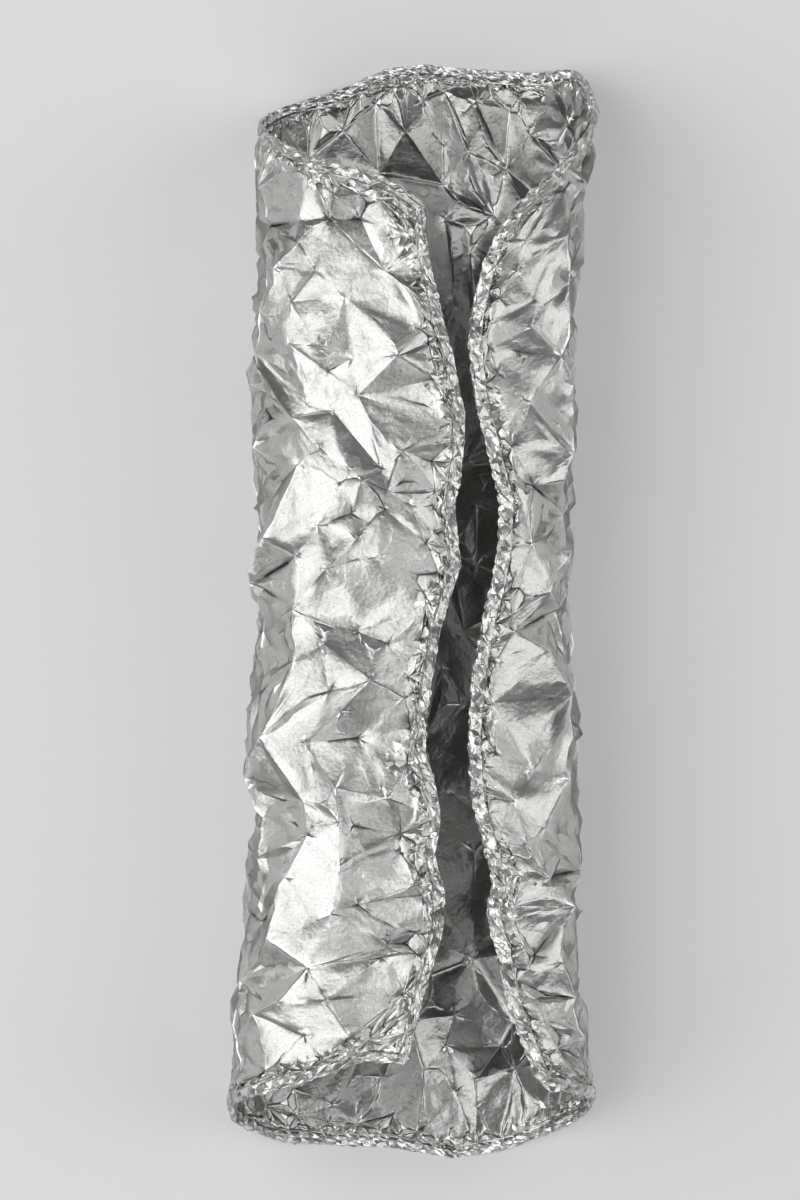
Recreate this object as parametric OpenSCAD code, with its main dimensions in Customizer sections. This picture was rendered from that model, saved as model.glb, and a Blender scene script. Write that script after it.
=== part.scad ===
// Crumpled aluminium foil, one sheet rolled into an open tube with its edges folded out into a hem.
// The tube lies on its back along Y, with its lengthwise gap up and its rest face on Z = 0.

/* [Tube] */
// Length over both rims along the back, mm
tube_length = 282; // [240:1:320]
// Width across the sides at mid length, mm
tube_width = 81.5; // [70:0.5:96]
// Height from the floor to the flaps, mm
tube_height = 66; // [58:0.5:80]
// Squareness of the tube's section, where 2 is an ellipse
section_power = 3.2; // [2:0.1:3.6]
// Thickness of the sheet, mm
wall = 0.3; // [0.25:0.05:0.6]
// Width of the flat strip that the tube lies on, mm
rest_width = 18; // [12:0.5:24]

/* [Hem] */
// Width of the folded strip along every edge, mm
hem_width = 3.2; // [2.5:0.1:5]
// Height that the folded strip stands off the sheet, mm
hem_rise = 0.8; // [0.4:0.1:1.2]

/* [Crumple] */
// Height of a full peak over the sheet, mm
peak_height = 2.6; // [0.8:0.1:3.6]
// Height of the small creases between peaks, mm
crease_height = 0.6; // [0:0.05:0.9]
// Height of the crinkles beside the hem, mm
crinkle_height = 0.45; // [0:0.05:0.9]
// Distance between peaks where no peak is placed by hand, mm
peak_pitch = 17; // [15:0.5:24]
// Distance between the corners along the hem, mm
hem_pitch = 6.5; // [6:0.5:10]

/* [Node] */
// Sub-part to draw

/* [Hidden] */

// The outlines and peaks below are drawn at this size and scale with the tube
drawn_length = 282;
drawn_width = 81.5;
along = tube_length / drawn_length;
across = tube_width / drawn_width;

// Middle of the drawn outline, which is put on the origin
drawn_middle = [-0.55, 0];

// Nominal size of the sheet laid flat, which sets the spacing of the folds
flat_width = 240 * across;
flat_length = 266 * along;

// Left and right sides of the tube at mid height, [y, x]
side_left = [[-127, -47.3], [-100, -43.3], [-60, -41.3], [0, -40.8], [60, -40.2], [125, -39.2]];
side_right = [
    [-125, 45.1], [-95, 41.2], [-40, 40.2], [0, 38.6], [50, 40.8], [98, 40.2], [108, 42], [125, 45.4]
];

// Edges of the lengthwise gap as seen from above, [y, x]
gap_left = [
    [-113, -3], [-108, -1.2], [-98, 1.2], [-89, 4], [-80, 6.8], [-70, 7.2], [-61, 4.6], [-52, 6.2],
    [-44, 5], [-35, 2.4], [-27, 2.4], [-14, 4.4], [-4, 6.2], [3, 8.4], [12, 11.2], [21, 10.2],
    [27, 9.6], [34, 11.4], [49, 12.4], [56, 10.6], [65, 9], [75, 6.2], [89, 3.2], [97, 2], [101, 2.2]
];
gap_right = [
    [-118, 31.5], [-112, 28.4], [-97, 23], [-86, 20.4], [-75, 17.8], [-67, 19.2], [-57, 16.8],
    [-46, 13.8], [-32, 13.2], [-14, 14.4], [0, 17.2], [8, 19.4], [18, 21], [27, 21.2], [37, 18.8],
    [55, 14.4], [68, 13.2], [80, 15], [88, 17.4], [96, 21.2], [101, 24.4], [106, 30.4], [112, 35.6],
    [118, 40.4], [124, 45]
];

// Rims as [angle, y], where the angle runs from the top over the left side and the back to the right side
rim_top = [
    [-1, 101], [8, 107], [20, 110.5], [33, 113], [45, 116.5], [60, 119.5], [75, 122.5], [92, 126],
    [128, 134], [151, 140], [166, 141], [184, 139.5], [199, 138.5], [217, 139], [234, 134],
    [252, 128.5], [268, 124]
];
rim_bottom = [
    [3, -113], [18, -112], [30, -115], [47, -118.5], [63, -121], [90, -126], [110, -132], [130, -136.5],
    [155, -137.5], [176, -138.5], [199, -141], [218, -139], [235, -135], [268, -125], [296, -121],
    [315, -118]
];

// Peaks (+) and dents (-) of the crumple on the left flap as seen from above, [x, y, share of peak_height]
peaks_left = [
    [-38, 107, 0.6], [-25.5, 108, 0.1], [-20, 104, 0.5], [-8, 105, 0.3], [-30, 98, -0.6],
    [-22.5, 98, -0.5], [-15, 98, -0.9], [-29, 92, 0.3], [-35, 86, 0.3], [-39, 97, -0.8],
    [-24.5, 85, 0.35], [-18, 78.5, -0.2], [-31, 77.5, 0.1], [-37.5, 75, 0.7], [-8, 85, -0.3],
    [-2, 81, 0.1], [1, 70.5, 0.2], [-38.5, 65, 0.8], [-31, 67, 0.5], [-22, 66, 0.7], [-16, 63, 0.1],
    [-22.5, 60, -0.3], [-4, 64, 0.9], [-28, 52, -0.5], [-40, 55, -0.7], [-31, 48.5, -0.1],
    [-21.5, 50, -0.5], [-15, 54, -0.4], [-39, 41, 0.8], [-27, 39, 0.1], [-30, 36.5, -0.2],
    [-23.5, 40.5, 0.4], [-16, 36, 0.7], [-13, 33, 0.6], [-19, 32, 0.1], [-9, 36, 0.1], [-3.5, 40, 0.5],
    [4, 37.5, -0.3], [-7, 30, 0.6], [-1, 26, 0.7], [-8, 25.5, -0.3], [-16.5, 24.5, -0.4],
    [-25, 21.5, -0.2], [-36.5, 18.5, 0.8], [-40, 29, -0.8], [-29, 14, 0.6], [-21.5, 10.5, 0.7],
    [-14.5, 18, 0.2], [2.5, 17, 0], [-9.5, 13.5, 0.3], [-39.5, 7, 0.9], [-29.5, 0.5, 0.6],
    [-40, -5, -0.7], [-15, -5, -0.4], [-22, -8, 0.5], [-10.5, -17, 0.9], [-3, -21.5, 0.5],
    [-7, -8, -0.1], [-31, -12.5, -0.2], [-27, -14.5, -0.5], [-22.5, -20, -0.5], [-18, -25, 0.6],
    [-37.5, -31.5, 0.8], [-28, -33, -0.2], [-15, -31.5, -0.5], [-1.5, -29, -0.3], [-19, -44, 0.8],
    [-41, -42, 1], [-29, -47.5, -0.4], [-39, -52, -0.3], [-19, -52.5, 0.2], [-27, -56, 0.2],
    [-16, -53.5, -0.4], [-4, -55.5, -0.5], [-4, -60, -0.2], [-38, -62, 0.7], [-32, -66.5, 0.4],
    [-20, -75.5, 0.9], [-14, -73, 0.4], [-0.5, -68, 0.4], [-7, -83, 0.6], [0, -80, 0],
    [-9, -86.5, -0.3], [-36, -82, 0.7], [-40.5, -78, -0.8], [-28, -89, -0.5], [-42, -93, 0.9],
    [-39, -101, 0.8], [-34, -98, 0.4], [-22, -97, 0.4], [-16, -106, 0.5], [-29, -106, -0.5],
    [-44, -108, 0.5], [-23, -111.5, 0.2], [-34, -113, 0.2]
];

// The same on the right flap
peaks_right = [
    [32, 102, -0.3], [36, 94.5, 1], [27, 92.5, 0], [24.5, 85, 0.4], [37, 82, 0.5], [30, 78, -0.2],
    [28, 71, 0.5], [26.5, 65, -0.4], [35, 64, 0.6], [18.5, 66, -0.1], [27, 52, 0.8], [20.5, 47, -0.3],
    [39, 49, 0.5], [37.5, 40, 0.9], [31, 31.5, -0.8], [36.5, 33, 0.4], [26, 27, 0.2], [38.5, 24, -0.7],
    [28.5, 17, 0.3], [36.5, 15, 1], [32, 5, 0.8], [24.5, 8, -0.1], [37, 0, -0.7], [25, -5, -0.2],
    [33, -10, 0.3], [19.5, -23, -0.3], [37, -21, 0.9], [28, -39.5, 0.7], [25, -47.5, -0.2],
    [37, -42, 0.7], [32.5, -54, -0.1], [27, -58, 0.4], [22, -62.5, 0.3], [26, -66, 0.2], [37.5, -74, 1],
    [33, -67, 0.2], [31, -86, -0.6], [35.5, -88, 0.5], [24, -73.5, 0.3], [31, -94.5, -0.5],
    [38.5, -97, 0.6], [28.5, -102, 0.2], [35, -109.5, 0.2], [40.5, -107, 0.8], [36, 108.5, 0.9],
    [39.5, 113, -0.9], [38.5, 105.5, -0.6], [41.5, 108, 0.7], [42, 118, 0.7]
];

// The same on the back wall, which shows through the gap and past both rims
peaks_back = [
    [-33, 127, 0.4], [-25, 131, -0.5], [-18, 124, 0.5], [-3, 123.5, -0.9], [-10, 131, 0.3],
    [7, 120.5, 0.5], [2, 132, 0.4], [16.5, 131.5, -1], [13.5, 118.5, 0.4], [31, 122.5, -0.7],
    [24, 129, 0.3], [23, 114, 0.3], [7, 110, 0.5], [-9, 113, 0.4], [7.5, 101, 0.5], [15, 92.5, -0.7],
    [21, 102, -0.4], [10, 80, -0.5], [17, 66, -0.4], [10, 50, -0.7], [16.5, 27, -0.6], [16.5, 12, -0.6],
    [13, -5, -0.5], [6.5, -14.5, 0.4], [13.5, -24, -0.3], [9, -46, -0.7], [15, -62, 0.3],
    [5, -76, -0.4], [16, -89.5, -0.8], [4, -94, 0.3], [11, -104, -0.9], [8.5, -112, -0.7],
    [16.5, -120.5, -0.9], [27, -118, -0.8], [25, -106, 0.3], [17, -128, -0.7], [10, -124, 0.2],
    [-16, -132, -0.5], [2, -118, 0.3], [21.5, -112, 0.3], [0.5, -134, -0.5], [-6, -130, -0.6],
    [-23, -127, -0.9], [-9, -120, -0.7], [-15, -112, -0.3], [-31, -123, 0.3], [-38, -127, 0.2],
    [9, -134, 0.3], [34, -127, -0.4]
];

// The tube's section at a place along it: middle, half width, half height and distance out at an angle
function left_x(y) = across * lookup(y / along, side_left);
function right_x(y) = across * lookup(y / along, side_right);
function middle(y) = (left_x(y) + right_x(y)) / 2;
function half_width(y) = (right_x(y) - left_x(y)) / 2;
half_height = tube_height / 2;
function height_share(x_share) = pow(1 - pow(abs(x_share), section_power), 1 / section_power);
function reach(angle, half) =
    1 / pow(
        pow(abs(sin(angle)) / half, section_power) + pow(abs(cos(angle)) / half_height, section_power),
        1 / section_power
    );
rest_sink = half_height * (1 - height_share(rest_width / tube_width));
middle_z = half_height - rest_sink;

// Angle of a point of the top side that is seen at x, from straight up and rising to the left
side_most = 0.985;
function angle_at(x, y) =
    let (share = max(-side_most, min(side_most, (middle(y) - across * x) / half_width(y))))
    atan2(share * half_width(y), half_height * height_share(share));
function first_angle(y) = angle_at(lookup(y / along, gap_left), y);
function last_angle(y) = 360 + angle_at(lookup(y / along, gap_right), y);

// Share of the way round from the left edge of the gap to the right edge, by angle and place
function round_share(angle, y) = (angle - first_angle(y)) / (last_angle(y) - first_angle(y));

// Angle on the section of a point whose angle on an ellipse of the same width is given
function section_angle(angle) =
    let (
        share = sin(angle),
        found = atan2(share * tube_width / 2, sign(cos(angle)) * half_height * height_share(share))
    )
    found < -90 ? found + 360 : (angle > 180 && found < 0 ? found + 360 : found);
top_edge = [for (p = rim_top) [section_angle(p[0]), p[1]]];
bottom_edge = [for (p = rim_bottom) [section_angle(p[0]), p[1]]];

// Height of a rim at a share of the way round
function rim_y(rim, share) =
    let (first = rim[0][0], last = rim[len(rim) - 1][0])
    along * lookup(first + share * (last - first), rim);

// A seeded number from -1 to 1 for a place on the sheet
function noise(p, seed) =
    let (s = sin(p[0] * 127.1 + p[1] * 311.7 + seed * 74.7) * 4375.85)
    2 * (s - floor(s)) - 1;

// Point of the sheet at flat place p, with its lift off the smooth tube
function place(p, lift, floor_z) =
    let (
        share = p[0] / flat_width,
        rise = p[1] / flat_length,
        low = rim_y(bottom_edge, share),
        high = rim_y(top_edge, share),
        y = low + rise * (high - low),
        angle = first_angle(y) + share * (last_angle(y) - first_angle(y)),
        out = reach(angle, half_width(y)) + lift,
        x = middle(y) - out * sin(angle),
        z = middle_z + out * cos(angle)
    )
    [x - across * drawn_middle[0], y - along * drawn_middle[1], max(z, floor_z)];

// Outward direction of the sheet at flat place p, taken from the section at mid length
function outward(p) =
    let (angle = first_angle(0) + p[0] / flat_width * (last_angle(0) - first_angle(0)))
    [-sin(angle), 0, cos(angle)];

// Flat place of a point that is seen at [x, y] on the flaps (side 0) or on the back (side 1)
function flat_place(peak, side) =
    let (
        y = peak[1] * along,
        seen = angle_at(peak[0], y),
        angle = side == 1 ? 180 - seen : (peak[0] > lookup(peak[1], gap_right) ? 360 + seen : seen),
        share = round_share(angle, y),
        low = rim_y(bottom_edge, share),
        high = rim_y(top_edge, share)
    )
    [share * flat_width, (y - low) / (high - low) * flat_length];

// Folds placed by hand, as [flat place, lift]
placed = [
    for (peak = peaks_left) [flat_place(peak, 0), peak[2] * peak_height],
    for (peak = peaks_right) [flat_place(peak, 0), peak[2] * peak_height],
    for (peak = peaks_back) [flat_place(peak, 1), peak[2] * peak_height]
];

// Inner rectangle of the flat sheet, inside the hem, and the corners along its border
field_low = [hem_width, hem_width];
field_high = [flat_width - hem_width, flat_length - hem_width];
field = field_high - field_low;
steps = [round(field[0] / hem_pitch), round(field[1] / hem_pitch)];
stride = [field[0] / steps[0], field[1] / steps[1]];
border = [
    for (i = [0:steps[0] - 1]) field_low + [i * stride[0], 0],
    for (j = [0:steps[1] - 1]) [field_high[0], field_low[1] + j * stride[1]],
    for (i = [0:steps[0] - 1]) field_high - [i * stride[0], 0],
    for (j = [0:steps[1] - 1]) [field_low[0], field_high[1] - j * stride[1]]
];
border_count = len(border);

// Peaks by rule on a staggered, jittered grid, wherever no placed one is near
clear_of_border = 6;
clear_of_placed = 0.62 * peak_pitch;
stagger = 0.25;
jitter = 0.2 * peak_pitch;
ruled_share = 0.35;
ruled_spread = 0.3;
rows = floor(field[1] / peak_pitch);
columns = floor(field[0] / peak_pitch);
grid = [
    for (j = [0:rows - 1], i = [0:columns - 1])
        let (
            p = field_low + [
                (i + 0.5 + (j % 2 == 0 ? stagger : -stagger)) * field[0] / columns,
                (j + 0.5) * field[1] / rows
            ]
        )
        p + jitter * [noise(p, 1), noise(p, 2)]
];
function inside(p, margin) =
    p[0] > field_low[0] + margin && p[0] < field_high[0] - margin
    && p[1] > field_low[1] + margin && p[1] < field_high[1] - margin;
function is_clear(p) = len([for (other = placed) if (norm(other[0] - p) < clear_of_placed) 1]) == 0;
ruled = [
    for (p = grid)
        if (inside(p, clear_of_border) && is_clear(p))
            [p, peak_height * sign(noise(p, 3)) * (ruled_share + ruled_spread * noise(p, 4))]
];

// Smallest length and area that count
tiny = 1e-7;

// Crinkles in a ring beside the hem, at an uneven distance from it, with gaps where the sheet is smooth
near_hem = 1.5;
ring_depth = 3;
ring_wander = 1.2;
ring_gap = 0.25;
clear_of_crinkle = 3;
function away(p) = [
    p[0] < field_low[0] + tiny ? -1 : (p[0] > field_high[0] - tiny ? 1 : 0),
    p[1] < field_low[1] + tiny ? -1 : (p[1] > field_high[1] - tiny ? 1 : 0)
];
ring = [
    for (k = [0:border_count - 1])
        let (
            p = (border[k] + border[(k + 1) % border_count]) / 2,
            out = away(p),
            depth = ring_depth + ring_wander * noise(p, 8),
            q = p - depth * out + ring_wander * noise(p, 9) * [out[1], out[0]],
            near = [for (other = placed) if (norm(other[0] - q) < clear_of_crinkle) 1]
        )
        if (noise(p, 10) < ring_gap && len(near) == 0 && inside(q, near_hem))
            [q, crinkle_height * noise(p, 11)]
];

// All corners of the folds: the border first, then the peaks, dents and crinkles
hem_wave = 0.4;
peaks = concat([for (peak = placed) if (inside(peak[0], near_hem)) peak], ruled, ring);
spots = concat(border, [for (peak = peaks) peak[0]]);
lifts = concat([for (p = border) hem_wave * noise(p, 5)], [for (peak = peaks) peak[1]]);

// Triangles between the spots: each is [a, b, c, centre of its circle, radius squared]
function cross2(a, b) = a[0] * b[1] - a[1] * b[0];
function circled(a, b, c) =
    let (
        pa = spots[a],
        u = spots[b] - pa,
        v = spots[c] - pa,
        d = 2 * cross2(u, v),
        w = [v[1] * (u * u) - u[1] * (v * v), u[0] * (v * v) - v[0] * (u * u)] / d
    )
    [a, b, c, pa + w, w * w];
function turn(a, b, c) = cross2(spots[b] - spots[a], spots[c] - spots[a]);

// One more spot: the triangles whose circles hold it are opened and refilled as a fan round it
function add_spot(triangles, k) =
    let (
        p = spots[k],
        held = [for (t = triangles) let (d = t[3] - p) if (d * d < t[4] - tiny) t],
        kept = [for (t = triangles) let (d = t[3] - p) if (d * d >= t[4] - tiny) t],
        edges = [for (t = held) each [[t[0], t[1]], [t[1], t[2]], [t[2], t[0]]]],
        rim = [for (e = edges) if (len([for (f = edges) if (f[0] == e[1] && f[1] == e[0]) 1]) == 0) e]
    )
    concat(kept, [for (e = rim) if (turn(e[0], e[1], k) > tiny) circled(e[0], e[1], k)]);

corners = [0, steps[0], steps[0] + steps[1], 2 * steps[0] + steps[1]];
start = [
    circled(corners[0], corners[1], corners[2]),
    circled(corners[0], corners[2], corners[3])
];
others = [for (k = [0:len(spots) - 1]) if (len(search(k, corners)) == 0) k];
folds = [
    for (i = 0, triangles = start; i <= len(others); i = i + 1, triangles = i <= len(others)
        ? add_spot(triangles, others[i - 1]) : triangles)
        if (i == len(others)) triangles
][0];

// One skin of the sheet: the spots in space, and each fold broken at its middle into a fan
function skin_points(depth) = [for (k = [0:len(spots) - 1]) place(spots[k], lifts[k] - depth, depth)];
function raised(p, rise, out, floor_z) = let (q = p + rise * out) [q[0], q[1], max(q[2], floor_z)];
function halfway(points, a, b, depth) =
    let (p = (spots[a] + spots[b]) / 2)
    raised((points[a] + points[b]) / 2, hem_wave * noise(p, 6) / 2, outward(p), depth);
function on_border(a, b) = a < border_count && b < border_count
    && (abs(a - b) == 1 || abs(a - b) == border_count - 1);
function side_points(points, a, b, depth) =
    on_border(a, b) ? [points[a], halfway(points, a, b, depth)] : [points[a]];
function fan(points, t, depth) =
    let (
        rim = concat(
            side_points(points, t[0], t[1], depth),
            side_points(points, t[1], t[2], depth),
            side_points(points, t[2], t[0], depth)
        ),
        p = (spots[t[0]] + spots[t[1]] + spots[t[2]]) / 3,
        mean = (points[t[0]] + points[t[1]] + points[t[2]]) / 3,
        centre = raised(mean, crease_height * noise(p, 6), outward(p), depth)
    )
    [for (i = [0:len(rim) - 1]) [centre, rim[i], rim[(i + 1) % len(rim)]]];

// Loops round the hem, from the foot of the folded strip out to its edge
function field_loop(points, depth) = [
    for (k = [0:border_count - 1]) each [points[k], halfway(points, k, (k + 1) % border_count, depth)]
];
function hem_loop(step, rise, zigzag, depth) = [
    for (k = [0:border_count - 1])
        let (
            after = (k + 1) % border_count,
            p = border[k],
            q = (border[k] + border[after]) / 2,
            lift = lifts[k] + rise * (1 + zigzag * noise(p, 7)),
            next_lift = (lifts[k] + lifts[after]) / 2 + rise * (1 - zigzag + zigzag * noise(q, 7))
        )
        each [
            place(p + step * (1 - zigzag) * away(p), lift - depth, depth),
            place(q + step * (1 + zigzag) * away(q), next_lift - depth, depth)
        ]
];
function strip(inner, outer) = [
    for (i = [0:len(inner) - 1])
        let (j = (i + 1) % len(inner))
        each [[inner[i], outer[i], outer[j]], [inner[i], outer[j], inner[j]]]
];
function reversed(triangles) = [for (t = triangles) [t[0], t[2], t[1]]];

// The closed sheet as one list of triangles
hem_foot = 0.15 * hem_width;
hem_crown = 0.6 * hem_width;
edge_rise = 0.3 * hem_rise;
hem_zigzag = 0.4;
function sheet() =
    let (
        outer = skin_points(0),
        inner = skin_points(wall),
        outer_loops = [
            field_loop(outer, 0),
            hem_loop(hem_foot, hem_rise, 0, 0),
            hem_loop(hem_crown, hem_rise, hem_zigzag, 0),
            hem_loop(hem_width, edge_rise, 0, 0)
        ],
        inner_loops = [
            field_loop(inner, wall),
            hem_loop(hem_foot, 0, 0, wall),
            hem_loop(hem_crown, 0, 0, wall),
            hem_loop(hem_width, 0, 0, wall)
        ],
        outer_skin = concat(
            [for (t = folds) each fan(outer, t, 0)],
            [for (i = [0:2]) each strip(outer_loops[i], outer_loops[i + 1])]
        ),
        inner_skin = concat(
            [for (t = folds) each fan(inner, t, wall)],
            [for (i = [0:2]) each strip(inner_loops[i], inner_loops[i + 1])]
        )
    )
    concat(outer_skin, reversed(inner_skin), strip(outer_loops[3], inner_loops[3]));

module foil_sheet() {
    triangles = sheet();
    color([0.72, 0.72, 0.72])
        polyhedron(
            points = [for (t = triangles) each t],
            faces = [for (i = [0:len(triangles) - 1]) [3 * i, 3 * i + 1, 3 * i + 2]],
            convexity = 8
        );
}

foil_sheet();
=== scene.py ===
import math
from dataclasses import dataclass

import bpy
import numpy as np
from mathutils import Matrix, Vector


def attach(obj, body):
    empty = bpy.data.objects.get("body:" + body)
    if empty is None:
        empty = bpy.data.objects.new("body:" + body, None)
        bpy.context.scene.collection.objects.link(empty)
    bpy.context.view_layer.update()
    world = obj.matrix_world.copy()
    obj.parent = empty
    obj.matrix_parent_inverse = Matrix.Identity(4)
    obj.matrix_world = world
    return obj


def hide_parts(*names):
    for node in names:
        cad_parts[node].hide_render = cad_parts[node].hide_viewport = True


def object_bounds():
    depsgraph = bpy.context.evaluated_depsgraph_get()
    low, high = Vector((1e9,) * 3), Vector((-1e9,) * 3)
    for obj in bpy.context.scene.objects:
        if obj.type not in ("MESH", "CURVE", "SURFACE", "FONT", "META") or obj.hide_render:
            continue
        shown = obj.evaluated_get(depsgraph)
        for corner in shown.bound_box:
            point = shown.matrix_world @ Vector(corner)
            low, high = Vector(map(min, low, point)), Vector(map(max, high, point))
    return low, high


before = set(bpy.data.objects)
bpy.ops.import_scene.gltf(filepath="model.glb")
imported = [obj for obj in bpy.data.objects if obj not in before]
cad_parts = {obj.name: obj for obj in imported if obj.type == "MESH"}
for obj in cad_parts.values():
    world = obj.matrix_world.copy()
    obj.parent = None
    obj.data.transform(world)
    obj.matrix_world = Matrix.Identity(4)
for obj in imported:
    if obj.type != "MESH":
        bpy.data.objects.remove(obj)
cad_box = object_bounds()

# The sheet in metres, as in the CAD model. The bead runs along its free edge on the inner skin
NODE = "foil_sheet"
HEM_WIDTH = 0.0032
BEAD_WIDTH = 0.0022

# Share of the hem's width up to which the middle of an edge counts as on it
HEM_SLACK = 1.05

# The narrow faces that close the skins at the free edge look along the sheet: the largest share of
# their normals that points away from the tube's axis
RIM_SLANT = 0.3

# Crinkled ground beside the hem: how far it reaches in from the free edge, how much that varies,
# and over what length it fades. On the inner skin it reaches in by one length everywhere
CRINKLE_REACH = 0.0048
CRINKLE_VARIES = 0.0022
CRINKLE_FADE = 0.0012
INNER_REACH = 0.0028

# The waves by which its reach varies: two along the tube, in radians a metre, with a phase for the
# second, and one across it that shifts the first
WANDER_ALONG = (170, 67)
WANDER_PHASE = 1
WANDER_ACROSS = 90
WANDER_SHIFT = 3

# The pointed corner of the right flap, and how much further the crinkled ground reaches round it
CORNER = (0.0445, 0.1215)
CORNER_SIZE = 0.011
CORNER_REACH = 0.006

# Each round breaks every triangle into four, and lifts the middles of its sides by up to these
# shares of their lengths
FACET_CREASES = (0.022, 0.026)
CRINKLE_CREASES = (0.06, 0.06)
HEM_CREASES = (0.11, 0.05)
BEAD_CREASES = (0.22, 0.12)

# The flanks are crumpled more: by how many times on top, in full where the upright part of the
# normal is this much short of one
FLANK_GAIN = 4
FLANK_FULL = 0.5

# Lengths over which the creases change in each round, the number of waves that make them,
# and the sum of the waves that counts as a full crease
FACET_RIPPLES = (0.008, 0.0045)
CRINKLE_RIPPLES = (0.0045, 0.003)
WAVES = 5
FULL_SUM = 2

# Points in the same cell of a grid with this many steps a metre count as one, and a vector's length
# counts as no less than the tiny one
WELD_STEPS = 1e6
TINY = 1e-12

# Multipliers of the seeded noise: for the place in metres, the seed and the sine of their sum
NOISE_PLACE = (12713.1, 31171.7, 7907.3)
NOISE_SEED = 74.7
NOISE_SINE = 4375.85

# Weights of a smooth subdivision: for a new middle, the ends of its edge and the far points of both
# triangles. For a point on a fold, itself and its neighbours on the fold. For any other point,
# all its neighbours together
MIDDLE_WEIGHTS = (0.375, 0.125)
CREASE_WEIGHTS = (0.75, 0.125)
AROUND_WEIGHT = 0.375

# The facets between the folds curve by this share of what a smooth surface would
CURVE = 0.7

# A new middle stays on a fold sharper than the first angle. The points of a fold above the second
# are smoothed only along the fold
SOFT_FOLD = math.radians(10)
FULL_FOLD = math.radians(24)

# The back wall is folded less, so below this height its folds count as this many times sharper
BACK_HEIGHT = 0.025
BACK_GAIN = 2.0

# Angle above which an edge is shaded as sharp
SHADE_ANGLE = math.radians(22)

# Bend of a fold, as rise over length, that counts as full, and the share that shows on the hem
FULL_BEND = 0.25
HEM_LINES = 0.85

# Where this many folds meet, the point is pinched out of the sheet by this height
PINCH_FOLDS = 4
PINCH = 0.00025

# A point of the CAD model with this many folds is a corner of the crumple: it isn't smoothed, and
# its ground is crinkled by this share, which also paints it lighter as painted sheen
CORNER_FOLDS = 4
CORNER_CRINKLE = 0.4

# Relief that is too fine for the mesh: the lip of a fold, the wrinkles between folds and the
# metal's grain. Then the small flats on a facet and on crinkled ground, with their size and slope
MM_PER_M = 1000
LIP_MM = 0.22
WRINKLE_MM = 0.045
GRAIN_MM = 0.12
FACET_CELL = 0.006
FACET_CELL_TILT = 0.05
CRINKLE_CELL = 0.0022
CRINKLE_CELL_TILT = 0.5

# Noises of the foil, as waves a metre and number of finer layers
CLOUD_NOISE = (220, 5)
GRAIN_NOISE = (900, 4)
SPECK_NOISE = (2300, 2)
WRINKLE_NOISE = (140, 3)

# Tones of the foil: its mean, how far clouds and specks vary it, how much a fold's line is a
# painted highlight on a crest and painted shade in a valley, though on the inner skin a painted
# highlight in both, how much crinkled ground is painted lighter as painted sheen, and the share of
# the tone that
# the inner skin keeps: partly the foil's duller side, partly painted shade of the tube's inside.
# Green and blue keep shares of red
TONE = 0.68
CLOUD_TONE = 0.16
GRAIN_TONE = 0.45
FOLD_HIGHLIGHT_SHADE = 0.55
CRINKLE_SHEEN = 0.14
DULL_AND_SHADE_SHARE = 0.74
GREEN_SHARE = 0.99
BLUE_SHARE = 0.97

# Roughness outside, and inside, where the foil mirrors a little more sharply, and how far clouds
# vary it. The edge tint darkens the metal where it is seen at a grazing angle
SATIN = 0.32
INSIDE_SATIN = 0.26
SATIN_VARIES = 0.10
EDGE_TINT = 0.25

# Floor: half its width, its tone and roughness, and its extra paleness from 0 to 1 where the camera
# or the metal sees it
FLOOR_REACH = 6.0
FLOOR_TONE = 0.76
FLOOR_ROUGHNESS = 0.9
FLOOR_GLOW = 0.14

# Lamps that all face one point, each with its place, size and power in watts, and the dim surround
LAMP_AIM = (0, 0, 0.04)
LAMPS = {
    "key": ((-0.75, 0.0, 1.06), (1.5, 1.3), 10.1),
    "left": ((-1.2, 0.3, 0.40), (0.9, 0.14), 0.9),
    "fill": ((0.95, 0.1, 0.98), (1.15, 1.15), 5.2),
    "right": ((1.2, 0.2, 0.40), (0.9, 0.14), 0.9),
    "front": ((-0.2, -1.2, 0.9), (1.0, 0.6), 2.0),
    "top": ((0.04, 0, 1.4), (0.6, 0.8), 0.9),
}
SURROUND = 0.09

# Camera: straight above, at the scale of the photo on the flaps, in metres a pixel
IMAGE_HEIGHT_PX = 1200
FLAP_SCALE = 0.00025
FLAP_HEIGHT = 0.062
CAMERA_HEIGHT = 2.0
CAMERA_MIDDLE = (-0.00345, 0.0029)
SENSOR = 36.0


@dataclass
class Sheet:
    """The foil as triangles, with its folds.

    edges holds each edge once as two points, and sides the three edges of each triangle. angles
    says how sharply the sheet is folded along each edge, corners which points are corners of the
    crumple, and distance how far each point lies from the free edge.
    """

    points: np.ndarray
    faces: np.ndarray
    edges: np.ndarray
    sides: np.ndarray
    angles: np.ndarray
    corners: np.ndarray
    distance: np.ndarray


def welded(mesh):
    """Points and triangles of a mesh, with points at the same place made one."""
    points = np.zeros(len(mesh.vertices) * 3, np.float32)
    mesh.vertices.foreach_get("co", points)
    points = points.reshape(-1, 3).astype(float)
    mesh.calc_loop_triangles()
    faces = np.zeros(len(mesh.loop_triangles) * 3, np.int32)
    mesh.loop_triangles.foreach_get("vertices", faces)
    keys = np.round(points * WELD_STEPS).astype(np.int64)
    first, index = np.unique(keys, axis=0, return_index=True, return_inverse=True)[1:]
    faces = index.reshape(-1)[faces].reshape(-1, 3)
    a, b, c = faces.T
    return points[first], faces[(a != b) & (b != c) & (c != a)]


def unit(vectors):
    """The vectors at length one."""
    return vectors / np.maximum(np.linalg.norm(vectors, axis=1, keepdims=True), TINY)


def gathered(count, places, values):
    """Sum of the values that fall on each of count places."""
    return np.stack([np.bincount(places, column, count) for column in values.T], 1)


def face_normals(points, faces):
    """Normal of each triangle, as long as twice its area."""
    a, b, c = (points[faces[:, i]] for i in range(3))
    return np.cross(b - a, c - a)


def point_normals(points, faces):
    """Unit normal of each point, the mean of its triangles' normals by area."""
    n = face_normals(points, faces)
    return unit(gathered(len(points), faces.T.reshape(-1), np.concatenate([n, n, n])))


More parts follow.
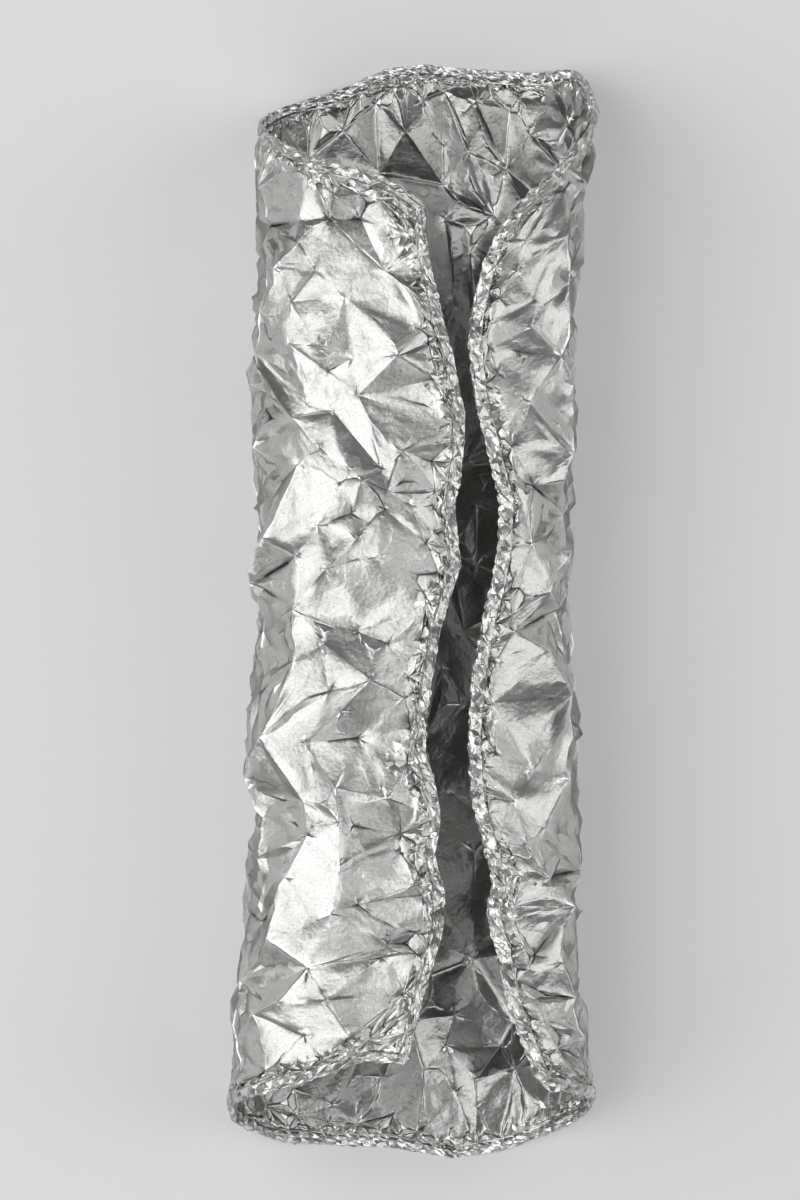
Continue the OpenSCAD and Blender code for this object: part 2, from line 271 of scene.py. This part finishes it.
def edge_normals(points, faces, edges):
    """Unit normal of each edge, the mean of its ends' normals."""
    normals = point_normals(points, faces)
    return unit(normals[edges[:, 0]] + normals[edges[:, 1]])


def edge_counts(edges, count):
    """How many of the edges end at each of count points."""
    return np.bincount(edges.T.reshape(-1), minlength=count)


def neighbour_sum(points, edges):
    """For each point the sum of the points that the edges join it to."""
    return gathered(len(points), edges.T.reshape(-1), points[edges[:, ::-1].T.reshape(-1)])


def far_point_sum(points, faces, edges, sides):
    """For each edge the sum of the far points of its two triangles."""
    return gathered(len(edges), sides.T.reshape(-1), points[faces[:, [2, 0, 1]].T.reshape(-1)])


def sides_of(faces):
    """Each edge once as two points, and the number of the edge on each side of each triangle."""
    pairs = np.concatenate([faces[:, [0, 1]], faces[:, [1, 2]], faces[:, [2, 0]]])
    edges, index = np.unique(np.sort(pairs, axis=1), axis=0, return_inverse=True)
    return edges, index.reshape(3, -1).T


def noise(p, seed):
    """A seeded number from -1 to 1 for each place."""
    s = np.sin(p @ np.array(NOISE_PLACE) + seed * NOISE_SEED) * NOISE_SINE
    return 2 * (s - np.floor(s)) - 1


def ripple(p, length, seed):
    """A seeded number from -1 to 1 that changes over a length, so that both skins get the same."""
    chance = np.random.default_rng(seed)
    waves = unit(chance.normal(size=(WAVES, 3))) * 2 * math.pi / length
    phases = chance.uniform(0, 2 * math.pi, WAVES)
    return np.clip(np.sin(p @ waves.T + phases).sum(axis=1) / FULL_SUM, -1, 1)


def outward(points):
    """Direction away from the axis of the tube, for each point."""
    low, high = cad_box
    out = points - np.array([(low.x + high.x) / 2, 0, (low.z + high.z) / 2])
    out[:, 1] = 0
    return unit(out)


def along_outward(normals, points):
    """How far the normals at some points look away from the axis of the tube."""
    return (normals * outward(points)).sum(axis=1)


def sharpness(heights):
    """By how many times the folds at some heights count as sharper."""
    return np.where(heights < BACK_HEIGHT, BACK_GAIN, 1)


def fold_angles(points, faces, edges, sides):
    """Angle by which the sheet is folded along each edge, from the length of both normals' sum."""
    n = unit(face_normals(points, faces))
    both = gathered(len(edges), sides.T.reshape(-1), np.concatenate([n, n, n]))
    angles = np.arccos(np.clip((both**2).sum(axis=1) / 2 - 1, -1, 1))
    return angles * sharpness(points[edges, 2].mean(axis=1))


def edge_distance(points, faces):
    """Distance of each point from the free edge, found by the faces that close the skins."""
    slant = np.abs(along_outward(unit(face_normals(points, faces)), points[faces].mean(axis=1)))
    a, b, c = points[faces[slant < RIM_SLANT]].transpose(1, 0, 2)
    targets = np.concatenate([a, (a + b) / 2, (b + c) / 2])
    gaps = (points**2).sum(1)[:, None] + (targets**2).sum(1)[None] - 2 * points @ targets.T
    return np.sqrt(np.maximum(gaps.min(axis=1), 0))


def crinkle_reach(points):
    """How far in from the free edge the crinkled ground reaches beside each point."""
    x, y = points[:, 0], points[:, 1]
    first = np.sin(y * WANDER_ALONG[0] + WANDER_SHIFT * np.sin(x * WANDER_ACROSS))
    wander = first * np.sin(y * WANDER_ALONG[1] + WANDER_PHASE)
    away = ((points[:, :2] - np.array(CORNER)) ** 2).sum(axis=1) / CORNER_SIZE**2
    return CRINKLE_REACH + CRINKLE_VARIES * wander + CORNER_REACH * np.exp(-away)


def smoothed(sheet):
    """Points of the sheet eased as in a smooth subdivision, and kept where folds meet."""
    points, edges, count = sheet.points, sheet.edges, len(sheet.points)
    valence = edge_counts(edges, count)[:, None]
    share = AROUND_WEIGHT / valence
    eased = points * (1 - valence * share) + neighbour_sum(points, edges) * share
    eased = points + CURVE * (eased - points)
    full = edges[sheet.angles > FULL_FOLD]
    folds = edge_counts(full, count)
    crease = points * CREASE_WEIGHTS[0] + neighbour_sum(points, full) * CREASE_WEIGHTS[1]
    out = np.where((folds == 2)[:, None], crease, eased)
    return np.where((sheet.corners | (folds > 2))[:, None], points, out)


def crease_shares(middles, normals, distance, level):
    """Height of each new middle over the sheet, as a share of the length of its edge."""
    side = np.sign(along_outward(normals, middles))
    hem = (side > 0) & (distance < HEM_WIDTH * HEM_SLACK)
    bead = (side < 0) & (distance < BEAD_WIDTH)
    crinkled = distance < crinkle_reach(middles)
    shares = [
        HEM_CREASES[level] * noise(middles, level),
        BEAD_CREASES[level] * np.abs(noise(middles, level)),
        CRINKLE_CREASES[level] * side * ripple(middles, CRINKLE_RIPPLES[level], level),
    ]
    flank = 1 + FLANK_GAIN * np.clip((1 - np.abs(normals[:, 2])) / FLANK_FULL, 0, 1) ** 2
    facet = FACET_CREASES[level] * flank * side * ripple(middles, FACET_RIPPLES[level], level)
    return np.select([hem, bead, crinkled], shares, facet)


def fresh_points(sheet, distance, level):
    """A new point for each edge, creased a little: on a fold at its middle, elsewhere curved."""
    points, edges = sheet.points, sheet.edges
    a, b = points[edges[:, 0]], points[edges[:, 1]]
    middles, lengths = (a + b) / 2, np.linalg.norm(a - b, axis=1)
    far = far_point_sum(points, sheet.faces, edges, sheet.sides)
    smooth = (a + b) * MIDDLE_WEIGHTS[0] + far * MIDDLE_WEIGHTS[1]
    curved = middles + CURVE * (smooth - middles)
    fresh = np.where((sheet.angles > SOFT_FOLD)[:, None], middles, curved)
    normals = edge_normals(points, sheet.faces, edges)
    share = crease_shares(middles, normals, distance, level)
    return fresh + normals * (share * lengths)[:, None]


def quartered(faces, mids):
    """Each triangle as four, made of its corners and of the middles of its sides."""
    a, b, c = faces.T
    ab, bc, ca = mids.T
    parts = [(a, ab, ca), (b, bc, ab), (c, ca, bc), (ab, bc, ca)]
    return np.concatenate([np.stack(part, 1) for part in parts])


def halved_angles(sheet, edges, count):
    """Angles of the finer edges between count points: both halves of a fold keep its angle."""
    kept = np.flatnonzero(sheet.angles > SOFT_FOLD)
    ends = sheet.edges[kept]
    middles = len(sheet.points) + kept
    codes = edges[:, 0] * count + edges[:, 1]
    angles = np.zeros(len(edges))
    for end in ends.T:
        angles[np.searchsorted(codes, end * count + middles)] = sheet.angles[kept]
    return angles


def finer(sheet, level):
    """Every triangle broken into four, with curved facets, sharp folds and small creases."""
    middle_distance = (sheet.distance[sheet.edges[:, 0]] + sheet.distance[sheet.edges[:, 1]]) / 2
    points = np.concatenate([smoothed(sheet), fresh_points(sheet, middle_distance, level)])
    points[:, 2] = np.maximum(points[:, 2], 0)
    faces = quartered(sheet.faces, len(sheet.points) + sheet.sides)
    edges, sides = sides_of(faces)
    corners = np.concatenate([sheet.corners, np.zeros(len(sheet.edges), bool)])
    distance = np.concatenate([sheet.distance, middle_distance])
    angles = halved_angles(sheet, edges, len(points))
    found = np.maximum(angles, fold_angles(points, faces, edges, sides))
    angles = np.where(distance[edges].max(axis=1) < CRINKLE_REACH, found, angles)
    return Sheet(points, faces, edges, sides, angles, corners, distance)


def pinched(sheet):
    """The points where folds meet, drawn further out of the sheet."""
    points, edges, count = sheet.points, sheet.edges, len(sheet.points)
    mean = neighbour_sum(points, edges) / edge_counts(edges, count)[:, None]
    folds = edge_counts(edges[sheet.angles > SOFT_FOLD], count)
    normals = point_normals(points, sheet.faces)
    side = np.sign(((points - mean) * normals).sum(axis=1))
    rise = np.where(folds >= PINCH_FOLDS, side * PINCH, 0)
    return points + normals * rise[:, None]


def crumpled_sheet():
    """The CAD sheet with its facets curved, its folds kept sharp and its hem crinkled."""
    points, faces = welded(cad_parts[NODE].data)
    edges, sides = sides_of(faces)
    angles = fold_angles(points, faces, edges, sides)
    corners = edge_counts(edges[angles > SOFT_FOLD], len(points)) >= CORNER_FOLDS
    distance = edge_distance(points, faces)
    sheet = Sheet(points, faces, edges, sides, angles, corners, distance)
    for level in range(len(FACET_CREASES)):
        sheet = finer(sheet, level)
    sheet.points = np.where((sheet.distance > HEM_WIDTH)[:, None], pinched(sheet), sheet.points)
    sheet.points[:, 2] = np.maximum(sheet.points[:, 2], 0)
    return sheet


def fold_lines(sheet):
    """How sharply each point is folded, from 1 on a crest to -1 in a valley, 0 off the folds."""
    points, faces, edges = sheet.points, sheet.faces, sheet.edges
    far = far_point_sum(points, faces, edges, sheet.sides) / 2
    normals = edge_normals(points, faces, edges)
    rise = ((points[edges].mean(axis=1) - far) * normals).sum(axis=1)
    lengths = np.linalg.norm(points[edges[:, 0]] - points[edges[:, 1]], axis=1)
    bend = np.where(sheet.angles > SOFT_FOLD, rise / lengths, 0)
    bend = bend * sharpness(points[edges, 2].mean(axis=1))
    total = np.bincount(edges.T.reshape(-1), np.concatenate([bend, bend]), len(points))
    return np.clip(total / FULL_BEND, -1, 1)


def inner_points(sheet):
    """Which points lie on the inner skin."""
    return along_outward(point_normals(sheet.points, sheet.faces), sheet.points) < 0


def fold_values(sheet):
    """Line of the folds by point, for the lip's bump and for the painted highlight and shade along
    it.
    """
    fold = fold_lines(sheet)
    # On the inner skin every fold counts as a crest: its lip is raised and its line is a painted
    # highlight
    fold = np.where(inner_points(sheet), np.abs(fold), fold)
    return np.where(sheet.distance > HEM_WIDTH, fold, HEM_LINES * fold)


def crinkle_values(sheet):
    """Crinkled ground by point, from 0 to 1, for its bump and its painted sheen."""
    reach = np.where(inner_points(sheet), INNER_REACH, crinkle_reach(sheet.points))
    crinkle = np.clip((reach - sheet.distance) / CRINKLE_FADE, 0, 1)
    return np.maximum(crinkle, CORNER_CRINKLE * sheet.corners)


def inside_values(sheet):
    """Inner skin by triangle, 1 on it and 0 on the bead and the outer skin."""
    points, faces = sheet.points, sheet.faces
    inside = along_outward(face_normals(points, faces), points[faces].mean(axis=1)) < 0
    inside &= sheet.distance[faces].max(axis=1) > BEAD_WIDTH
    return inside.astype(np.float32)


def sheet_piece(name, sheet):
    """A piece that is smooth inside its facets and sharp at its folds."""
    mesh = bpy.data.meshes.new(name)
    mesh.from_pydata(sheet.points.tolist(), [], sheet.faces.tolist())
    mesh.update()
    mesh.polygons.foreach_set("use_smooth", np.ones(len(mesh.polygons), bool))
    mesh.set_sharp_from_angle(angle=SHADE_ANGLE)
    for attribute, domain, values in (
        ("fold", "POINT", fold_values(sheet)),
        ("crinkle", "POINT", crinkle_values(sheet)),
        ("inside", "FACE", inside_values(sheet)),
    ):
        mesh.attributes.new(attribute, "FLOAT", domain).data.foreach_set("value", values)
    mesh.materials.append(foil_material())
    return linked(name, mesh)


def linked(name, data):
    """An object with its data, in the scene."""
    thing = bpy.data.objects.new(name, data)
    bpy.context.scene.collection.objects.link(thing)
    return thing


class Shading:
    """A material, its shader and the nodes that feed it."""

    def __init__(self, name):
        self.material = bpy.data.materials.new(name)
        self.material.use_nodes = True
        self.tree = self.material.node_tree
        self.shader = self.tree.nodes["Principled BSDF"]

    def feed(self, sockets, **values):
        """Puts values into sockets, with _ for a space in their names."""
        for name, value in values.items():
            self.put(sockets[name.replace("_", " ")], value)

    def put(self, socket, value):
        """Sets one socket to a plain value, or links it to a node's output."""
        if isinstance(value, bpy.types.NodeSocket):
            self.tree.links.new(value, socket)
        else:
            socket.default_value = value

    def node(self, kind, **values):
        """A new node with its sockets fed."""
        node = self.tree.nodes.new(kind)
        self.feed(node.inputs, **values)
        return node

    def math(self, operation, *values):
        """Output of a Math node on plain values or outputs."""
        node = self.tree.nodes.new("ShaderNodeMath")
        node.operation = operation
        for socket, value in zip(node.inputs, values):
            self.put(socket, value)
        return node.outputs[0]

    def vector(self, operation, *values):
        """Output of a Vector Math node on vectors or outputs."""
        node = self.tree.nodes.new("ShaderNodeVectorMath")
        node.operation = operation
        for socket, value in zip(node.inputs, values):
            self.put(socket, value)
        return node.outputs["Value" if operation == "DOT_PRODUCT" else "Vector"]

    def attribute(self, name):
        """A value of the mesh by point or triangle."""
        node = self.tree.nodes.new("ShaderNodeAttribute")
        node.attribute_name = name
        return node.outputs["Fac"]

    def noise(self, place, scale, detail, kind="FBM"):
        """A noise from 0 to 1."""
        node = self.tree.nodes.new("ShaderNodeTexNoise")
        node.noise_type = kind
        self.feed(node.inputs, Scale=scale, Detail=detail, Vector=place)
        return node.outputs["Fac"]

    def flats(self, place, size, tilt):
        """Height in millimetres of small flats, each tilted by its own random colour."""
        cells = self.node("ShaderNodeTexVoronoi", Scale=1 / size, Vector=place)
        offset = self.vector("SUBTRACT", place, cells.outputs["Position"])
        slope = self.vector("SUBTRACT", cells.outputs["Color"], (0.5, 0.5, 0.5))
        height = self.vector("DOT_PRODUCT", offset, slope)
        return self.math("MULTIPLY", height, 2 * MM_PER_M * tilt)


def foil_colour(foil, place, cloud, line):
    """Foil colour: clouds, specks, painted light at folds and crinkles, a darker inside partly
    painted shade.
    """
    speck = foil.noise(place, *SPECK_NOISE)
    base = TONE - (CLOUD_TONE + GRAIN_TONE) / 2
    tone = foil.math("MULTIPLY_ADD", cloud, CLOUD_TONE, base)
    tone = foil.math("MULTIPLY_ADD", speck, GRAIN_TONE, tone)
    # The fold's line: a painted highlight on a crest and painted shade in a valley, on the inner
    # skin a painted highlight
    tone = foil.math("MULTIPLY_ADD", line, FOLD_HIGHLIGHT_SHADE, tone)
    # Crinkled ground and the crumple's corners are painted lighter, as painted sheen
    tone = foil.math("MULTIPLY_ADD", foil.attribute("crinkle"), CRINKLE_SHEEN, tone)
    # The inner skin is darker, partly as the foil's duller side and partly as painted shade of the
    # tube's inside
    dull_and_shade = foil.math("MULTIPLY_ADD", foil.attribute("inside"), DULL_AND_SHADE_SHARE - 1, 1.0)
    tone = foil.math("MULTIPLY", tone, dull_and_shade)
    green = foil.math("MULTIPLY", tone, GREEN_SHARE)
    blue = foil.math("MULTIPLY", tone, BLUE_SHARE)
    return foil.node("ShaderNodeCombineColor", Red=tone, Green=green, Blue=blue).outputs["Color"]


def foil_relief(foil, place, line):
    """Height in millimetres of all that is too fine for the mesh."""
    relief = foil.math("MULTIPLY", foil.noise(place, *GRAIN_NOISE), GRAIN_MM)
    wrinkle = foil.noise(place, *WRINKLE_NOISE, "RIDGED_MULTIFRACTAL")
    relief = foil.math("MULTIPLY_ADD", wrinkle, WRINKLE_MM, relief)
    relief = foil.math("ADD", foil.flats(place, FACET_CELL, FACET_CELL_TILT), relief)
    crinkle = foil.flats(place, CRINKLE_CELL, CRINKLE_CELL_TILT)
    relief = foil.math("MULTIPLY_ADD", foil.attribute("crinkle"), crinkle, relief)
    return foil.math("MULTIPLY_ADD", line, LIP_MM, relief)


def foil_material():
    """Satin aluminium foil: bright metal with a fine uneven grain, darker at a grazing angle."""
    foil = Shading("foil")
    place = foil.tree.nodes.new("ShaderNodeTexCoord").outputs["Object"]
    cloud = foil.noise(place, *CLOUD_NOISE)

    # The value that falls off beside a fold is raised to its fifth power, for a narrow line
    fold = foil.attribute("fold")
    second = foil.math("MULTIPLY", fold, fold)
    fourth = foil.math("MULTIPLY", second, second)
    line = foil.math("MULTIPLY", fourth, fold)

    satin = foil.math("MULTIPLY_ADD", cloud, SATIN_VARIES, SATIN)
    satin = foil.math("MULTIPLY_ADD", foil.attribute("inside"), INSIDE_SATIN - SATIN, satin)
    relief = foil_relief(foil, place, line)
    bump = foil.node("ShaderNodeBump", Strength=1.0, Distance=1 / MM_PER_M, Height=relief)
    foil.feed(
        foil.shader.inputs,
        Metallic=1.0,
        Specular_Tint=(EDGE_TINT, EDGE_TINT, EDGE_TINT, 1),
        Base_Color=foil_colour(foil, place, cloud, line),
        Roughness=satin,
        Normal=bump.outputs["Normal"],
    )
    return foil.material


def floor_material():
    """Plain pale ground that the camera and the metal see a little paler than the lamps make it."""
    floor = Shading("floor")
    path = floor.tree.nodes.new("ShaderNodeLightPath").outputs
    seen = floor.math("MAXIMUM", path["Is Camera Ray"], path["Is Glossy Ray"])
    seen = floor.math("MAXIMUM", seen, path["Is Transmission Ray"])
    floor.feed(
        floor.shader.inputs,
        Base_Color=(FLOOR_TONE, FLOOR_TONE, FLOOR_TONE, 1),
        Roughness=FLOOR_ROUGHNESS,
        Emission_Color=(1, 1, 1, 1),
        Emission_Strength=floor.math("MULTIPLY", seen, FLOOR_GLOW),
    )
    return floor.material


def floor_piece():
    """A plain pale floor under the tube."""
    mesh = bpy.data.meshes.new("floor")
    r = FLOOR_REACH
    corners = [(-r, -r, 0), (r, -r, 0), (r, r, 0), (-r, r, 0)]
    mesh.from_pydata(corners, [], [(0, 1, 2, 3)])
    mesh.materials.append(floor_material())
    piece = linked("floor", mesh)


def lamp(name, place, size, power):
    """A soft rectangular light that faces the tube."""
    data = bpy.data.lights.new(name, "AREA")
    data.shape = "RECTANGLE"
    data.size, data.size_y = size
    data.energy = power
    light = linked(name, data)
    light.location = place
    light.rotation_mode = "QUATERNION"
    light.rotation_quaternion = (Vector(LAMP_AIM) - Vector(place)).to_track_quat("-Z", "Y")


def studio():
    """Soft light from the upper left, weaker from the right, front and top, and a dim surround."""
    for name, settings in LAMPS.items():
        lamp(name, *settings)
    world = bpy.data.worlds.new("surround")
    world.use_nodes = True
    background = world.node_tree.nodes["Background"]
    background.inputs["Color"].default_value = (SURROUND, SURROUND, SURROUND, 1)
    background.inputs["Strength"].default_value = 1.0
    bpy.context.scene.world = world
    bpy.context.scene.view_settings.view_transform = "Standard"


def camera():
    """The photo's view, straight down on the tube."""
    data = bpy.data.cameras.new("camera")
    data.sensor_width = SENSOR
    data.lens = SENSOR * (CAMERA_HEIGHT - FLAP_HEIGHT) / (IMAGE_HEIGHT_PX * FLAP_SCALE)
    view = linked("camera", data)
    view.location = (*CAMERA_MIDDLE, CAMERA_HEIGHT)
    bpy.context.scene.camera = view


def main():
    """Builds the sheet and the studio."""
    piece = sheet_piece("foil_sheet_visual", crumpled_sheet())
    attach(piece, "root")
    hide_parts(NODE)
    floor_piece()
    camera()
    studio()


main()
